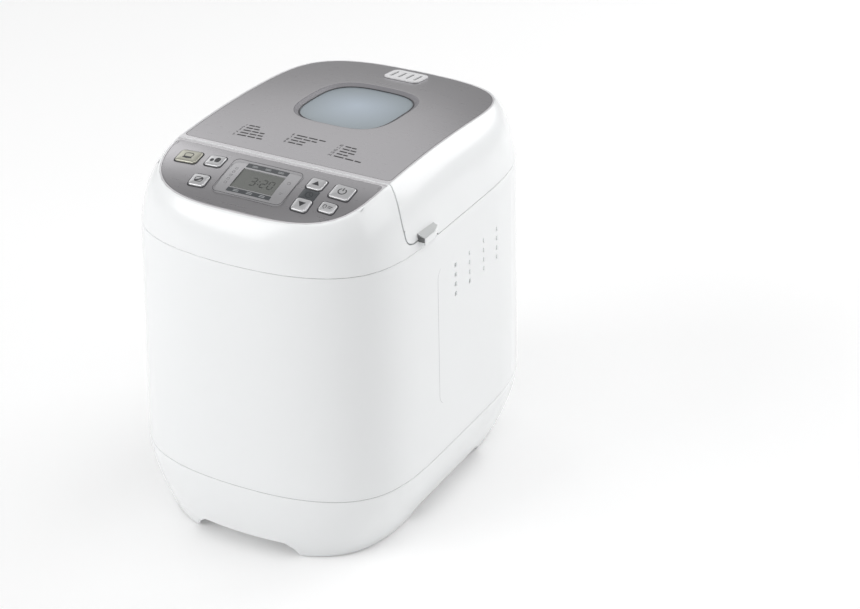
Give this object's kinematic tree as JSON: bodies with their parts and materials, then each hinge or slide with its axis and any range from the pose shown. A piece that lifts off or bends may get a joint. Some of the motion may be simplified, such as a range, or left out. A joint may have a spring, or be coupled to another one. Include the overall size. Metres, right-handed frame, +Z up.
{
  "type": "bread machine",
  "caption": "Upright bread machine with a hinged window lid, sprung control panel buttons, lift-out pan with kneading paddle and a belt-driven spindle.",
  "frame": {"origin": "centre of the footprint's bounding box, on the surface that the rubber feet stand on", "axes": "+Z up, -Y towards the front with the control panel, +X to the right of a person facing the front"},
  "size_m": [0.225, 0.3054, 0.2924],
  "materials": {
    "white_plastic": "gloss",
    "silver_plastic": "satin",
    "dark_plastic": "matte",
    "rubber": "matte",
    "seal_rubber": "matte",
    "steel": "satin",
    "chamber_steel": "satin",
    "coated_aluminium": "satin",
    "button_metal": "satin",
    "display_lens": "gloss",
    "display": "matte",
    "board": "matte",
    "heater_sheath": "satin",
    "brass": "satin",
    "window": "gloss",
    "motor_iron": "satin",
    "bearing_plastic": "matte",
    "pulley_plastic": "matte"
  },
  "bodies": {
    "machine": {"base_tray": "white_plastic", "rubber_feet": "rubber", "base_screws": "steel", "body_shell": "white_plastic", "cord_inlet": "dark_plastic", "top_frame": "white_plastic", "fascia_panel": "silver_plastic", "lcd_lens": "display_lens", "lcd_module": "display", "control_board": "board", "oven_chamber": "chamber_steel", "heating_element": "heater_sheath", "heater_clips": "steel", "temp_sensor": "steel", "pan_seat": "steel", "chassis_plate": "steel", "shaft_bearing": "bearing_plastic", "drive_belt": "rubber", "motor": "motor_iron", "capacitor": "pulley_plastic", "power_board": "board", "hinge_brackets": "steel", "hinge_pins": "steel"},
    "lid": {"lid_hinge_arms": "steel", "lid_shell": "white_plastic", "lid_plate": "silver_plastic", "window_glass": "window", "vent_grille": "white_plastic", "lid_liner": "chamber_steel", "inner_glass": "window", "lid_seal": "seal_rubber", "lid_screws": "steel"},
    "menu_button": {"button_menu": "button_metal"},
    "size_button": {"button_size": "button_metal"},
    "crust_button": {"button_crust": "button_metal"},
    "up_button": {"button_up": "button_metal"},
    "down_button": {"button_down": "button_metal"},
    "power_button": {"button_power": "button_metal"},
    "light_button": {"button_light": "button_metal"},
    "pan": {"bread_pan": "coated_aluminium", "pan_ears": "steel", "pan_collar": "coated_aluminium", "pan_bush": "brass"},
    "handle": {"pan_handle": "steel"},
    "mixer": {"paddle_shaft": "steel"},
    "paddle": {"kneading_paddle": "coated_aluminium"},
    "spindle": {"drive_spindle": "steel", "large_pulley": "pulley_plastic"},
    "motor_shaft": {"motor_pulley": "steel"}
  },
  "joints": [
    {"name": "lid_hinge", "type": "hinge", "parent": "machine", "child": "lid", "pos_m": [0, 0.13, 0.258], "axis": [-1, 0, 0], "range_deg": [0, 75]},
    {"name": "menu_press", "type": "slide", "parent": "machine", "child": "menu_button", "axis": [0.0491, 0.2162, -0.9751], "range_m": [0, 0.0008], "stiffness_N_per_m": 400},
    {"name": "size_press", "type": "slide", "parent": "machine", "child": "size_button", "axis": [0.0317, 0.206, -0.978], "range_m": [0, 0.0008], "stiffness_N_per_m": 400},
    {"name": "crust_press", "type": "slide", "parent": "machine", "child": "crust_button", "axis": [0.0361, 0.3267, -0.9445], "range_m": [0, 0.0008], "stiffness_N_per_m": 400},
    {"name": "up_press", "type": "slide", "parent": "machine", "child": "up_button", "axis": [-0.0314, 0.2037, -0.9785], "range_m": [0, 0.0008], "stiffness_N_per_m": 400},
    {"name": "down_press", "type": "slide", "parent": "machine", "child": "down_button", "axis": [-0.0364, 0.3288, -0.9437], "range_m": [0, 0.0008], "stiffness_N_per_m": 400},
    {"name": "power_press", "type": "slide", "parent": "machine", "child": "power_button", "axis": [-0.0483, 0.217, -0.975], "range_m": [0, 0.0008], "stiffness_N_per_m": 400},
    {"name": "light_press", "type": "slide", "parent": "machine", "child": "light_button", "axis": [-0.052, 0.3133, -0.9482], "range_m": [0, 0.0008], "stiffness_N_per_m": 400},
    {"name": "pan_slide", "type": "slide", "parent": "machine", "child": "pan", "axis": [0, 0, 1], "range_m": [0, 0.014]},
    {"name": "handle_pivot", "type": "hinge", "parent": "pan", "child": "handle", "pos_m": [0, 0.032, 0.206], "axis": [-1, 0, 0], "range_deg": [0, 16]},
    {"name": "mixer_spin", "type": "hinge", "parent": "pan", "child": "mixer", "pos_m": [0, 0.032, 0.09], "axis": [0, 0, 1], "continuous": true},
    {"name": "paddle_slide", "type": "slide", "parent": "mixer", "child": "paddle", "axis": [0, 0, 1], "range_m": [0, 0.03]},
    {"name": "spindle_spin", "type": "hinge", "parent": "machine", "child": "spindle", "pos_m": [0, 0.032, 0.04], "axis": [0, 0, 1], "continuous": true},
    {"name": "motor_spin", "type": "hinge", "parent": "machine", "child": "motor_shaft", "pos_m": [0, -0.11275, 0.04], "axis": [0, 0, 1], "continuous": true}
  ],
  "couplings": [
    {"joint": "motor_spin", "follows": "spindle_spin", "ratio": 6},
    {"joint": "mixer_spin", "follows": "spindle_spin", "ratio": 1}
  ]
}
